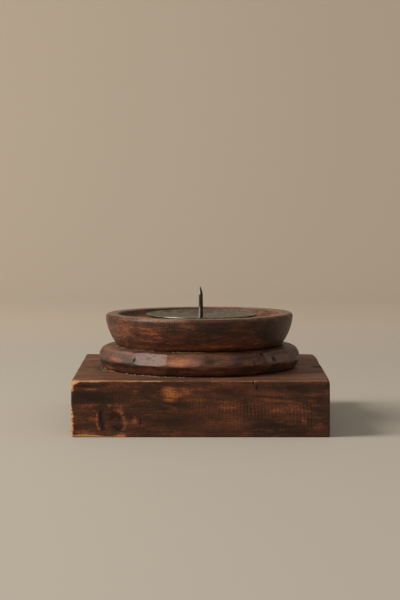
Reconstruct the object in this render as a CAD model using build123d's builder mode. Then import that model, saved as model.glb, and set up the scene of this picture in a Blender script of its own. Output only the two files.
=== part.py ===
"""Pricket candle stand: a plinth, a ring and a bowl of wood on one iron tie rod, with a loose iron drip pan."""

import os
from math import cos, radians

from build123d import *

os.makedirs("parts", exist_ok=True)

# Plinth: a square block with worn edges
PLINTH_WIDTH = 200.0
PLINTH_DEPTH = 200.0
PLINTH_HEIGHT = 44.0
PLINTH_CORNER_RADIUS = 2.5
PLINTH_EDGE_RADIUS = 1.6

# Ring: a heavy half-round moulding with flats cut above and below its waist
RING_HEIGHT = 18.6
RING_FOOT_RADIUS = 77.0
RING_WAIST_OVERHANG = 5.6
RING_RADIUS = RING_FOOT_RADIUS + RING_WAIST_OVERHANG
RING_WAIST_HEIGHT = 8.8
RING_TOP_RISE = 0.3
RING_SEAT_MARGIN = 1.0
RING_FLAT_COUNT = 18
RING_FLAT_DEPTH_ABOVE = 1.0
RING_FLAT_DEPTH_BELOW = 0.6
RING_FLAT_SLOPE = 30.0
RING_FLAT_TURN = 11.0

# Bowl: a shallow dish with a broad lip, and a spigot under it that keeps the courses in line
BOWL_HEIGHT = 25.6
BOWL_RADIUS = 77.2
BOWL_FOOT_RADIUS = 66.6
BOWL_SIDE_BULGE = 2.3
LIP_OUTER_ROUND = 2.9
LIP_FLAT = 6.0
LIP_INNER_ROUND = 3.5
RECESS_WALL_SLOPE = 60.0
RECESS_DEPTH = 5.0
SPIGOT_RADIUS = 20.0
SPIGOT_CLEARANCE = 0.2
SPIGOT_END_GAP = 0.5
MORTISE_DEPTH = 12.0

# Pricket: one bar, round below as a tie rod and drawn out square above as a spike
ROD_RADIUS = 3.0
ROD_CLEARANCE = 0.3
ROD_SHOULDER_DROP = 0.4
ROD_STICK_OUT = 3.0
ROD_END_CHAMFER = 0.5
SPIKE_HEIGHT = 25.6
SPIKE_ROOT_WIDTH = 2.9
SPIKE_NECK_WIDTH = 2.3
SPIKE_TIP_WIDTH = 0.3
SPIKE_POINT_LENGTH = 6.0
SPIKE_TURN = 26.0

# Nuts and washers, the same above and below
NUT_WIDTH = 10.0
NUT_THICKNESS = 5.0
NUT_CHAMFER = 0.6
NUT_CLEARANCE = 0.1
WASHER_RADIUS = 9.0
WASHER_THICKNESS = 1.6
POCKET_CLEARANCE = 0.8
POCKET_HEADROOM = 0.8
NUT_RECESS_DEPTH = 14.0

# Drip pan: a dished sheet with a flat middle and a square hole
PAN_RADIUS = 46.0
PAN_SEAT_RADIUS = 18.0
PAN_THICKNESS = 1.4
PAN_RISE = 3.6
PAN_EDGE_ROUND = 0.5
PAN_HOLE_CLEARANCE = 0.35

# Heights that several pieces share
ring_z = PLINTH_HEIGHT
bowl_z = ring_z + RING_HEIGHT
rim_z = bowl_z + BOWL_HEIGHT
floor_z = rim_z - RECESS_DEPTH
pan_top_z = floor_z + PAN_THICKNESS
pocket_z = floor_z - (WASHER_THICKNESS + NUT_THICKNESS + POCKET_HEADROOM)
upper_nut_z = pocket_z + WASHER_THICKNESS
lower_washer_z = NUT_RECESS_DEPTH - WASHER_THICKNESS
lower_nut_z = lower_washer_z - NUT_THICKNESS
rod_end_z = lower_nut_z - ROD_STICK_OUT
rod_shoulder_z = floor_z - ROD_SHOULDER_DROP
spike_tip_z = pan_top_z + SPIKE_HEIGHT
spike_neck_z = spike_tip_z - SPIKE_POINT_LENGTH

# Fits that several pieces share
rod_hole_radius = ROD_RADIUS + ROD_CLEARANCE
spigot_hole_radius = SPIGOT_RADIUS + SPIGOT_CLEARANCE
pocket_radius = WASHER_RADIUS + POCKET_CLEARANCE
ring_seat_radius = BOWL_FOOT_RADIUS + RING_SEAT_MARGIN


# Plinth: mortise for the spigot above, recess for the lower nut below, rod hole between them
with BuildPart() as plinth:
    with BuildSketch():
        RectangleRounded(PLINTH_WIDTH, PLINTH_DEPTH, PLINTH_CORNER_RADIUS)
    extrude(amount=PLINTH_HEIGHT)
    ends = plinth.faces().sort_by(Axis.Z)
    fillet(ends[0].edges() + ends[-1].edges(), PLINTH_EDGE_RADIUS)
    with Locations((0, 0, PLINTH_HEIGHT)):
        CounterBoreHole(rod_hole_radius, spigot_hole_radius, MORTISE_DEPTH)
    with BuildSketch():
        Circle(pocket_radius)
    extrude(amount=NUT_RECESS_DEPTH, mode=Mode.SUBTRACT)


# Double pyramid with one side for each flat that is cut on the ring
waist_z = ring_z + RING_WAIST_HEIGHT
shoulder_round = RING_HEIGHT - RING_TOP_RISE - RING_WAIST_HEIGHT
foot_round = (RING_WAIST_OVERHANG**2 + RING_WAIST_HEIGHT**2) / (2 * RING_WAIST_OVERHANG)

with BuildPart() as ring_flats:
    for rise, section_round, depth in (
        (bowl_z - waist_z, shoulder_round, RING_FLAT_DEPTH_ABOVE),
        (ring_z - waist_z, foot_round, RING_FLAT_DEPTH_BELOW),
    ):
        flat_reach = (section_round - depth) / cos(radians(RING_FLAT_SLOPE))
        with BuildSketch(Plane.XY.offset(waist_z)):
            RegularPolygon(
                RING_RADIUS - section_round + flat_reach,
                RING_FLAT_COUNT,
                major_radius=False,
                rotation=RING_FLAT_TURN,
            )
        extrude(amount=rise, taper=RING_FLAT_SLOPE)


# Ring: turned first, then the flats are cut
with BuildPart() as torus_ring:
    with BuildSketch(Plane.XZ):
        with BuildLine():
            lower_side = TangentArc((RING_RADIUS, waist_z), (RING_FOOT_RADIUS, ring_z), tangent=(0, -1))
            upper_side = JernArc((RING_RADIUS, waist_z), (0, 1), shoulder_round, 90)
            Polyline(
                upper_side @ 1,
                (ring_seat_radius, bowl_z),
                (spigot_hole_radius, bowl_z),
                (spigot_hole_radius, ring_z),
                lower_side @ 1,
            )
        make_face()
    revolve(axis=Axis.Z)
    add(ring_flats.part, mode=Mode.INTERSECT)


# Bowl: one turned piece with its spigot, bored for the rod and pocketed for the upper nut
lip_z = rim_z - LIP_OUTER_ROUND
cove_round = RECESS_DEPTH / (1 - cos(radians(RECESS_WALL_SLOPE))) - LIP_INNER_ROUND
spigot_z = ring_z - MORTISE_DEPTH + SPIGOT_END_GAP

with BuildPart() as bowl:
    with BuildSketch(Plane.XZ):
        with BuildLine():
            Polyline((0, floor_z), (0, spigot_z), (SPIGOT_RADIUS, spigot_z), (SPIGOT_RADIUS, bowl_z))
            Line((SPIGOT_RADIUS, bowl_z), (BOWL_FOOT_RADIUS, bowl_z))
            side = SagittaArc((BOWL_FOOT_RADIUS, bowl_z), (BOWL_RADIUS, lip_z), -BOWL_SIDE_BULGE)
            lip = JernArc(side @ 1, (0, 1), LIP_OUTER_ROUND, 90)
            rim = Line(lip @ 1, (BOWL_RADIUS - LIP_OUTER_ROUND - LIP_FLAT, rim_z))
            wall = JernArc(rim @ 1, (-1, 0), LIP_INNER_ROUND, RECESS_WALL_SLOPE)
            cove = JernArc(wall @ 1, wall % 1, cove_round, -RECESS_WALL_SLOPE)
            Line(cove @ 1, (0, floor_z))
        make_face()
    revolve(axis=Axis.Z)
    with Locations((0, 0, floor_z)):
        CounterBoreHole(rod_hole_radius, pocket_radius, floor_z - pocket_z)


# Drip pan: the same curve above and below, with a square hole that fits over the spike
with BuildPart() as drip_pan:
    with BuildSketch(Plane.XZ) as pan_profile:
        with BuildLine():
            Line((0, floor_z), (PAN_SEAT_RADIUS, floor_z))
            TangentArc(
                (PAN_SEAT_RADIUS, floor_z),
                (PAN_RADIUS, floor_z + PAN_RISE),
                tangent=(1, 0),
            )
            Line((PAN_RADIUS, floor_z + PAN_RISE), (PAN_RADIUS, pan_top_z + PAN_RISE))
            TangentArc(
                (PAN_SEAT_RADIUS, pan_top_z),
                (PAN_RADIUS, pan_top_z + PAN_RISE),
                tangent=(1, 0),
            )
            Polyline((PAN_SEAT_RADIUS, pan_top_z), (0, pan_top_z), (0, floor_z))
        make_face()
        fillet(pan_profile.vertices().group_by(Axis.X)[-1], PAN_EDGE_ROUND)
    revolve(axis=Axis.Z)
    with BuildSketch(Plane.XY.offset(floor_z)):
        hole_width = SPIKE_ROOT_WIDTH + 2 * PAN_HOLE_CLEARANCE
        Rectangle(hole_width, hole_width, rotation=SPIKE_TURN)
    extrude(amount=PAN_THICKNESS, mode=Mode.SUBTRACT)


# Pricket: rod with chamfered end, then the spike as a tapering square with a pyramid point
with BuildPart() as pricket:
    with BuildSketch(Plane.XY.offset(rod_end_z)):
        Circle(ROD_RADIUS)
    extrude(amount=rod_shoulder_z - rod_end_z)
    chamfer(pricket.edges().group_by(Axis.Z)[0], ROD_END_CHAMFER)
    spike_widths = (
        (rod_shoulder_z, SPIKE_ROOT_WIDTH),
        (spike_neck_z, SPIKE_NECK_WIDTH),
        (spike_tip_z, SPIKE_TIP_WIDTH),
    )
    for level, width in spike_widths:
        with BuildSketch(Plane.XY.offset(level)):
            Rectangle(width, width, rotation=SPIKE_TURN)
    loft(ruled=True)


def make_washer(name, base_z):
    """Flat round washer standing on base_z."""
    with BuildPart() as washer:
        with BuildSketch(Plane.XY.offset(base_z)):
            Circle(WASHER_RADIUS)
            Circle(rod_hole_radius, mode=Mode.SUBTRACT)
        extrude(amount=WASHER_THICKNESS)
    washer.part.label = name
    return washer.part


def make_nut(name, base_z):
    """Square nut standing on base_z, with its corners eased on the upper face."""
    with BuildPart() as nut:
        with BuildSketch(Plane.XY.offset(base_z)):
            Rectangle(NUT_WIDTH, NUT_WIDTH)
        extrude(amount=NUT_THICKNESS)
        chamfer(nut.edges().group_by(Axis.Z)[-1], NUT_CHAMFER)
        with Locations((0, 0, base_z + NUT_THICKNESS)):
            Hole(ROD_RADIUS + NUT_CLEARANCE)
    nut.part.label = name
    return nut.part


plinth.part.label = "plinth"
torus_ring.part.label = "torus_ring"
bowl.part.label = "bowl"
drip_pan.part.label = "drip_pan"
pricket.part.label = "pricket"

pieces = [
    plinth.part,
    torus_ring.part,
    bowl.part,
    drip_pan.part,
    pricket.part,
    make_washer("upper_washer", pocket_z),
    make_nut("upper_nut", upper_nut_z),
    make_washer("lower_washer", lower_washer_z),
    make_nut("lower_nut", lower_nut_z),
]

for piece in pieces:
    export_step(piece, f"parts/{piece.label}.step")
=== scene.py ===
# %% [markdown]
# # A pricket candle stand
#
# Three courses of dark stained wood, a square plinth, a heavy ring and a shallow bowl, stand on each
# other and are held together by one iron bar. The bar comes out of the bowl as a square spike, the
# pricket, and a dished iron pan lies loose round it. This lesson dresses the CAD model of that stand:
# every piece keeps its place and size, and gets the marks of hand work, the stain and the wear that the
# real one has, with some highlights, sheen and shade painted into its colour as well.

import math
from types import SimpleNamespace

import bmesh
import bpy
import numpy as np
from mathutils import Euler, Matrix, Vector, noise


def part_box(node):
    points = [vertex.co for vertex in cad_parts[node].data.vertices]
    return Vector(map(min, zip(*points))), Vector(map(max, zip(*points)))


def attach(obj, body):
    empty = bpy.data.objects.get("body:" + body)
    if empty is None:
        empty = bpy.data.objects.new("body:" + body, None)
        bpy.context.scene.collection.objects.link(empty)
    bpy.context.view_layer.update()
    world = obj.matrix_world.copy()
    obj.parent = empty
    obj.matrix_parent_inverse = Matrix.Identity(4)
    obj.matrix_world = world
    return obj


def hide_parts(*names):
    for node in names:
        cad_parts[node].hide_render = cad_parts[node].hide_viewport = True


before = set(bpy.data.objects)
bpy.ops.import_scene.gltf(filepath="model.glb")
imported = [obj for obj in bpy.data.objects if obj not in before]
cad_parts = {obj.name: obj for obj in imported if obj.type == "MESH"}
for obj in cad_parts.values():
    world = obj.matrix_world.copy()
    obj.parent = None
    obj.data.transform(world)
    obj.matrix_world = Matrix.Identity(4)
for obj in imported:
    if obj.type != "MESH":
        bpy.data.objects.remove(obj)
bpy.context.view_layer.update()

MM = 0.001


def in_mm(corners):
    """The two corners of a box, in mm."""
    return [np.array(corner) / MM for corner in corners]


plinth_low, plinth_high = in_mm(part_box("plinth"))
ring_low, ring_high = in_mm(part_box("torus_ring"))
bowl_low, bowl_high = in_mm(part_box("bowl"))
pan_low, pan_high = in_mm(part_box("drip_pan"))
bar_low, bar_high = in_mm(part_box("pricket"))
plinth_top, bowl_foot, rim, tip = plinth_high[2], ring_high[2], bowl_high[2], bar_high[2]
dish_floor = pan_low[2]
print("plinth top", plinth_top, "bowl foot", bowl_foot, "dish floor", dish_floor, "rim", rim, "tip", tip)

# %% [markdown]
# ## Writing node trees as sums
#
# A finish is a small calculation at every point of a surface, and a shape that follows a rule is one at
# every vertex. Blender holds both as node trees. Wiring them one link at a time hides the sum, so a
# thin wrapper lets `1 - mask` or `grain * 0.4 + dust` add the Math nodes by itself. Every other node
# comes from one method, `add`.


# %% A wire that does arithmetic
class Wire:
    """One output of a node. Arithmetic on it adds Math nodes to its tree."""

    def __init__(self, graph, socket):
        self.graph = graph
        self.socket = socket

    def math(self, operation, *others, swap=False):
        values = (others[0], self) if swap else (self, *others)
        return self.graph.add("ShaderNodeMath", {"operation": operation}, dict(enumerate(values)))

    def __add__(self, other):
        return self.math("ADD", other)

    def __sub__(self, other):
        return self.math("SUBTRACT", other)

    def __rsub__(self, other):
        return self.math("SUBTRACT", other, swap=True)

    def __mul__(self, other):
        return self.math("MULTIPLY", other)

    def __truediv__(self, other):
        return self.math("DIVIDE", other)

    def __rtruediv__(self, other):
        return self.math("DIVIDE", other, swap=True)

    def __pow__(self, other):
        return self.math("POWER", other)

    __radd__ = __add__
    __rmul__ = __mul__

    def step(self, low, high):
        """0 below low, 1 above high, and a smooth rise between them."""
        sockets = {"Value": self, "From Min": low, "From Max": high}
        return self.graph.add("ShaderNodeMapRange", {"interpolation_type": "SMOOTHSTEP"}, sockets)

    def out(self, name):
        """Another output of the same node."""
        return Wire(self.graph, self.socket.node.outputs[name])


# %% A graph that adds nodes
class Graph:
    """A node tree that is filled by calls."""

    def __init__(self, tree):
        self.tree = tree

    def feed(self, node, sockets):
        """Sets a node's sockets to values, or links them to wires."""
        for key, value in sockets.items():
            if isinstance(value, Wire):
                self.tree.links.new(value.socket, node.inputs[key])
            else:
                node.inputs[key].default_value = value

    def add(self, kind, settings=None, sockets=None, output=0):
        node = self.tree.nodes.new(kind)
        for name, value in (settings or {}).items():
            setattr(node, name, value)
        self.feed(node, sockets or {})
        return Wire(self, node.outputs[output]) if node.outputs else node

    def blend(self, share, first, second):
        """Colour first where share is 0, second where it is 1."""
        return self.add("ShaderNodeMix", {"data_type": "RGBA"}, {0: share, 6: first, 7: second}, output=2)

    def vector(self, operation, *values):
        return self.add("ShaderNodeVectorMath", {"operation": operation}, dict(enumerate(values)))

    def scale(self, vector, share):
        """A vector or a colour times one number."""
        return self.add("ShaderNodeVectorMath", {"operation": "SCALE"}, {0: vector, "Scale": share})

    def parts(self, wire):
        first = self.add("ShaderNodeSeparateXYZ", sockets={0: wire})
        return first, first.out("Y"), first.out("Z")

    def join(self, x, y, z):
        return self.add("ShaderNodeCombineXYZ", sockets={0: x, 1: y, 2: z})

    def noise(self, place, scale, detail=2.0, roughness=0.5, output=0):
        sockets = {"Vector": place, "Scale": scale, "Detail": detail, "Roughness": roughness}
        return self.add("ShaderNodeTexNoise", sockets=sockets, output=output)

    def place(self, unit=1.0):
        """Where a point of a finish lies on its piece, in metres or in another unit."""
        return self.scale(self.add("ShaderNodeTexCoord", output="Object"), 1 / unit)

    def painted(self, name):
        """A number that is painted on the mesh."""
        return self.add("ShaderNodeAttribute", {"attribute_name": name}, output="Fac")

    def position(self):
        """Where a point of a geometry lies."""
        return self.add("GeometryNodeInputPosition")


def new_finish(name):
    """An empty finish: its material, its graph and the shader that it ends in."""
    material = bpy.data.materials.new(name)
    material.use_nodes = True
    return material, Graph(material.node_tree), material.node_tree.nodes["Principled BSDF"]


def shade(*parts):
    """A colour as the eye reads it, 0 to 255, as the linear colour that a shader takes."""
    return (*[(c / 255 / 12.92 if c < 11 else ((c / 255 + 0.055) / 1.055) ** 2.4) for c in parts], 1.0)


print("a mid brown is", [round(c, 3) for c in shade(90, 60, 42)])

# %% [markdown]
# ## The stained wood
#
# All three courses are cut from softwood boards with the grain running left to right, then stained
# nearly black and rubbed until brown, red and orange show through. The growth rings are circles round a
# pith line that runs along X, below the board, so each face shows them as the saw left them: long lines
# on the front and the top, arcs on the ends, nested arches on a turned side. Fibres and pores are noise
# drawn out along the grain, and the stain is several layers with ragged edges, because stain that was
# wiped by hand never fades evenly. Where it is rubbed, bare or sooty is painted on the mesh beforehand,
# in attributes named after them, because wear follows the piece and not the board. Two of them carry
# painted light as well: the soot mark also paints shade in seams, at feet and under the pan, and the
# handled mark also paints sheen and highlights where the lamp catches flats and the lip.

# %% Stain colours
TAR = shade(39, 25, 16)
DARK_UMBER = shade(66, 41, 27)
UMBER = shade(100, 58, 37)
RUSSET = shade(126, 69, 45)
AMBER = shade(172, 102, 54)
HONEY = shade(206, 124, 62)
BARE = shade(222, 168, 112)
# The pale brown of the handled mark: worn, waxed spots, and also painted sheen and highlights.
SHEEN_AND_HANDLED = shade(146, 111, 88)
DUST = shade(204, 178, 148)
WAX = shade(218, 190, 158)
print("the stain goes from", TAR, "to", HONEY)


# %% A function for the growth rings
def grain_lines(g, place, pith, ring_gap, knots):
    """Dark late-wood lines round the pith line and each knot, the knots' dark eyes, and the pale rim on
    one side of them. A knot is (centre, half sizes, side)."""
    _, y, z = g.parts(place)
    growth = g.vector("LENGTH", g.join(0.0, y - pith[0], z - pith[1])).out("Value") / ring_gap
    eye, rim_light = 0.0, 0.0
    for centre, size, side in knots:
        apart = g.vector("DIVIDE", g.vector("SUBTRACT", place, centre), size)
        away = g.vector("LENGTH", apart).out("Value")
        growth = growth + (away * away * -1.0).math("EXPONENT") * 2.5
        eye = eye + (1 - away.step(0.2, 0.95))
        facing = (g.parts(apart)[0] * side + g.parts(apart)[2] * 0.4).step(0.2, 0.8)
        rim_light = rim_light + away.step(0.74, 0.95) * (1 - away.step(1.0, 1.25)) * facing
    ring = growth.math("FRACT")
    return ring.step(0.30, 0.88) * (1 - ring.step(0.90, 1.0)), eye, rim_light


# %% A function for the noises of the wood
def wood_noises(g, place, shift, across):
    """The noises that stain, wear and gloss share, by name. Most are drawn out along the grain. Below 1,
    across draws them out round the lathe too, and shift picks another stretch of them."""
    moved = g.vector("ADD", place, shift)
    bend = g.vector("SUBTRACT", g.noise(moved, 0.02, 3.0, output=1), (0.5, 0.5, 0.5))
    sway = g.vector("MULTIPLY", bend, (30.0, 12.0, 8.0))
    warped = g.vector("ADD", moved, sway)

    def drawn_out(along, scale, detail, roughness, source=moved):
        return g.noise(g.vector("MULTIPLY", source, (along, across, 1.0)), scale, detail, roughness)

    return SimpleNamespace(
        moved=moved, bend=bend, swayed=g.vector("ADD", place, sway),
        cloud=drawn_out(0.5, 0.034, 6.0, 0.62),
        patch=drawn_out(0.6, 0.10, 6.0, 0.66, g.vector("ADD", moved, (57.0, 13.0, 29.0))),
        film=drawn_out(0.5, 0.055, 7.0, 0.68, g.vector("ADD", moved, (-41.0, 77.0, 9.0))),
        streak=drawn_out(0.09, 0.24, 5.0, 0.6, warped),
        fibre=drawn_out(0.06, 0.7, 4.0, 0.65, warped).step(0.28, 0.72),
        grit=drawn_out(0.7, 1.15, 2.0, 0.7).step(0.28, 0.72),
        pore=drawn_out(0.12, 1.3, 1.0, 0.5).step(0.64, 0.74),
        flake=drawn_out(0.14, 0.42, 4.0, 0.62, warped),
    )


# %% A function for the layers of stain
def stain_layers(g, wood, worn, grain, lines, flakes):
    """The colour of the stain, from its thinnest layer to the dirt that is caked on it."""
    late, eye, rim_light = grain
    tone = wood.cloud * 0.5 + wood.patch * 0.25 + wood.streak * 0.25
    warm = wood.patch * 0.5 + wood.streak * 0.5 + worn.rub * 0.34 - worn.soot * 0.25
    colour = g.blend((tone - worn.soot * 0.12).step(0.40, 0.60), DARK_UMBER, UMBER)
    colour = g.blend((warm + (wood.grit - 0.5) * 0.08).step(0.52, 0.74) * 0.85, colour, RUSSET)
    colour = g.blend((warm + (wood.fibre - 0.5) * 0.1).step(0.66, 1.0), colour, AMBER)
    colour = g.blend((warm + (wood.grit - 0.5) * 0.2).step(0.95, 1.3) * 0.8, colour, HONEY)
    film = wood.film * 0.7 + wood.fibre * 0.1 + wood.grit * 0.1
    # The soot mark turns the stain towards tar, both where it is soot and where it is painted shade.
    patina = (film + worn.soot * 0.3 - worn.rub * 0.16).step(0.42, 0.64)
    colour = g.blend(patina * 0.72, colour, TAR)
    shed = (wood.flake + worn.rub * 0.16 - worn.soot * 0.12).step(0.55, 0.62)
    crisp = (1 - worn.smooth) * flakes
    colour = g.blend(shed * crisp, colour, g.blend(wood.patch.step(0.4, 0.6), RUSSET, AMBER))
    # The handled mark lightens the stain to a pale brown, both as handling wear and as painted sheen and
    # highlight.
    colour = g.blend(worn.handled * (0.62 + wood.streak * 0.4), colour, SHEEN_AND_HANDLED)
    caked = 1 - (wood.flake + worn.rub * 0.04).step(0.37, 0.44)
    shaded = late * lines * wood.film.step(0.35, 0.65) + wood.pore * 0.35 + eye * 0.4
    colour = g.blend((shaded + caked * crisp * 1.2).math("MINIMUM", 0.85), colour, TAR)
    return g.blend(wood.patch.step(0.40, 0.6) * rim_light * 0.4, colour, AMBER)


# %% A function for the stained wood
PAINTED = ("rub", "bare", "soot", "sawn", "handled")


def stained_wood(
    name, pith, ring_gap, shift, across, lines, flakes, gloss, shine, relief, teeth_gap, knots=(),
):
    """Wood with growth rings ring_gap mm apart, drawn as strongly as lines. flakes is how crisply the
    stain comes off, gloss the lowest roughness, shine the specular level, relief the strength of the bump
    and teeth_gap the gap between tool marks."""
    material, g, shader = new_finish(name)
    place = g.place(MM)
    wood = wood_noises(g, place, shift, across)
    worn = SimpleNamespace(**{mark: g.painted(mark) for mark in PAINTED})
    worn.smooth = (worn.handled * 3.0).math("MINIMUM", 1.0)
    grain = grain_lines(g, wood.swayed, pith, ring_gap, knots)
    stain = stain_layers(g, wood, worn, grain, lines, flakes)

    along = g.parts(wood.moved)[0] + g.parts(wood.bend)[0] * 7.0
    teeth = (along * (2 * math.pi / teeth_gap)).math("SINE")
    marks = teeth * worn.sawn * wood.patch.step(0.30, 0.55)
    texture = (wood.fibre * 0.5 + wood.grit * 0.8 - 0.65) * (1 - worn.smooth * 0.5)
    colour = g.scale(stain, 0.98 + texture + marks * 0.2)
    touched = worn.bare.step(0.02, 0.3)
    ragged = worn.bare + (wood.fibre - 0.5) * touched * 0.5 + (wood.patch - 0.5) * touched * 0.9
    colour = g.blend(ragged.step(0.24, 0.44) * 0.6, colour, AMBER)
    gone = ragged.step(0.42, 0.58)
    colour = g.blend(gone, colour, g.blend(wood.fibre * 0.6 + wood.grit * 0.4, RUSSET, BARE))
    cells = g.add("ShaderNodeTexVoronoi", sockets={"Vector": wood.moved, "Scale": 0.17})
    chosen = g.parts(cells.out("Color"))[0].step(0.74, 0.8)
    colour = g.blend((1 - cells.step(0.04, 0.075)) * chosen * 0.25, colour, DUST)

    height = wood.fibre * 0.5 + wood.grit * 0.35 - wood.pore * 0.6 + wood.cloud * 0.4 + marks * 0.35
    bump = g.add("ShaderNodeBump", sockets={"Strength": relief, "Distance": 0.3 * MM, "Height": height})
    rough = gloss + wood.cloud * 0.16 + wood.fibre * 0.08 + wood.grit * 0.06
    rough = rough + gone * 0.2 + wood.pore * 0.12 + worn.soot * 0.3
    g.feed(shader, {"Base Color": colour, "Roughness": rough, "Normal": bump, "Specular IOR Level": shine})
    return material


# %% The finishes of the three courses
SLIT = ((-77.5, -100, 13.5), (4.4, 30, 11.5), -1.0)
LOBE = ((-66.5, -100, 12), (7.4, 30, 12.5), 1.0)
plinth_wood = stained_wood(
    "plinth_stain", pith=(35, -70), ring_gap=1.5, shift=(0, 0, 0), across=1.0, lines=0.35, flakes=0.18,
    gloss=0.45, shine=0.2, relief=0.7, teeth_gap=2.7, knots=(SLIT, LOBE),
)
ring_wood = stained_wood(
    "ring_stain", pith=(-20, -45), ring_gap=3.8, shift=(310, 40, 90), across=0.4, lines=0.3, flakes=0.24,
    gloss=0.31, shine=0.4, relief=0.35, teeth_gap=2.0,
)
bowl_wood = stained_wood(
    "bowl_stain", pith=(60, -30), ring_gap=3.2, shift=(-270, 150, 35), across=0.3, lines=0.4, flakes=0.32,
    gloss=0.32, shine=0.3, relief=0.5, teeth_gap=1.8,
)
print("wood finishes:", [m.name for m in (plinth_wood, ring_wood, bowl_wood)])

# %% [markdown]
# ## Iron
#
# The pan is hammered sheet, dull grey with a little brown in it. Its upper edge has a bright line,
# rubbed all round and with a painted glint on the front-left, and painted shade under it. The spike is
# black from the forge, with a painted highlight on the side that faces the lamp. An image of rust could
# be wrapped round them, but both are metal with noise in their roughness instead: a real iron surface
# is told by its uneven gloss far more than by its colour.

# %% A function for the iron finishes
# Iron's marks: the first colour is painted shade under the pan's edge, the second the pan's rubbed edge
# with its painted glint, the third the spike's painted highlight.
SHADE_BLACK = shade(34, 32, 30)
RUBBED_AND_GLINT = shade(196, 192, 186)
SPIKE_HIGHLIGHT = shade(232, 233, 233)


def iron(name, dark, light, edge, grit, gloss):
    """Aged iron between two colours, with edge where the bare mark is painted, which stands for rubbed
    edges and for painted highlights, and a black where the soot mark paints shade. grit is the mottling
    per mm and gloss the lowest and highest roughness."""
    material, g, shader = new_finish(name)
    place = g.place(MM)
    mottle = g.noise(place, grit, 5.0, 0.6)
    scale_mark = g.noise(place, grit * 4, 3.0, 0.6)
    bright = g.painted("bare")
    colour = g.blend((mottle * 0.5 + scale_mark * 0.5).step(0.40, 0.60), dark, light)
    # The bare mark lightens to edge, for rubbed edges and for painted glints and highlights; the soot mark
    # blackens, as painted shade.
    colour = g.blend((bright + (scale_mark - 0.5) * 0.4).step(0.35, 0.8), colour, edge)
    colour = g.blend(g.painted("soot"), colour, SHADE_BLACK)
    rough = gloss[0] + (gloss[1] - gloss[0]) * mottle - bright * 0.12
    height = mottle * 0.6 + scale_mark * 0.4
    bump = g.add("ShaderNodeBump", sockets={"Strength": 0.35, "Distance": 0.2 * MM, "Height": height})
    g.feed(shader, {"Base Color": colour, "Roughness": rough, "Normal": bump, "Metallic": 0.9})
    return material


pan_iron = iron("dull_pan_iron", shade(87, 80, 69), shade(147, 137, 120), RUBBED_AND_GLINT, 0.16, (0.40, 0.66))
pricket_iron = iron("forged_iron", shade(46, 44, 42), shade(84, 81, 78), SPIKE_HIGHLIGHT, 0.5, (0.25, 0.5))
fastener_steel = iron("oiled_steel", shade(104, 101, 97), shade(158, 154, 148), RUBBED_AND_GLINT, 0.6, (0.3, 0.55))
print("iron finishes:", [m.name for m in (pan_iron, pricket_iron, fastener_steel)])

# %% [markdown]
# ## Turning on a lathe with Geometry Nodes
#
# The ring, the bowl and the pan are turned: one outline carried round an axis. Blender's Screw modifier
# would do that, but these pieces were then worked by hand, with flats cut round the ring and dents in
# the pan. A Geometry Nodes tree can do both in one go. It wraps a grid round the axis, looks each row
# up in the outline, cuts a given number of uneven flats, and pushes the surface in and out a little.


# %% Helpers that start and end a geometry tree
def new_tree(name, **kinds):
    """An empty geometry tree with inputs listed by kind: its graph, its input wires and identifiers."""
    tree = bpy.data.node_groups.new(name, "GeometryNodeTree")
    tree.interface.new_socket("Geometry", in_out="OUTPUT", socket_type="NodeSocketGeometry")
    names = {}
    for kind, titles in kinds.items():
        for title in titles.split(", "):
            socket = tree.interface.new_socket(title, in_out="INPUT", socket_type="NodeSocket" + kind)
            names[title] = socket.identifier
    g = Graph(tree)
    start = g.add("NodeGroupInput")
    return g, {title: start.out(title) for title in names}, names


def end_tree(g, geometry, finish):
    """Realizes, sets the finish and ends the tree."""
    solid = g.add("GeometryNodeRealizeInstances", sockets={0: geometry})
    coated = g.add("GeometryNodeSetMaterial", sockets={"Geometry": solid, "Material": finish})
    g.add("NodeGroupOutput", sockets={0: coated})


# %% A part of the tree that cuts flats
def cut_flats(g, geometry, given, level):
    """Cuts the upper or the lower flats, each as deep as the outline says. Each point is cut by the flat
    it lies on and by both neighbours, so that flats of unlike depth meet in a clean line."""
    outline = g.add("GeometryNodeObjectInfo", sockets={"Object": given["Outline"]}, output="Geometry")
    depth = g.add("GeometryNodeInputNamedAttribute", {"data_type": "FLOAT"}, {"Name": level + " Cut"})
    step = 2 * math.pi / given["Flat Count"]
    slope = given[level + " Slope"]
    cos_s, sin_s = slope.math("COSINE"), slope.math("SINE")
    for neighbour in (-1, 0, 1):
        x, y, z = g.parts(g.position())
        number = ((y.math("ARCTAN2", x) - given["Flat Turn"]) / step + 0.5).math("FLOOR") + neighbour
        middle = number * step + given["Flat Turn"]
        cos_m, sin_m = middle.math("COSINE"), middle.math("SINE")
        index = number.math("FLOORED_MODULO", given["Flat Count"])
        lookup = {"Geometry": outline, "Value": depth, "Index": index}
        deeper = g.add("GeometryNodeSampleIndex", {"data_type": "FLOAT"}, lookup)
        proud = (x * cos_m + y * sin_m) * cos_s + z * sin_s - given[level + " Distance"] + deeper
        proud = proud.math("SMOOTH_MAX", 0.0, given["Arris"])
        offset = g.scale(g.join(cos_m * cos_s, sin_m * cos_s, sin_s), proud * -1.0)
        geometry = g.add("GeometryNodeSetPosition", sockets={"Geometry": geometry, "Offset": offset})
    return geometry


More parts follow.
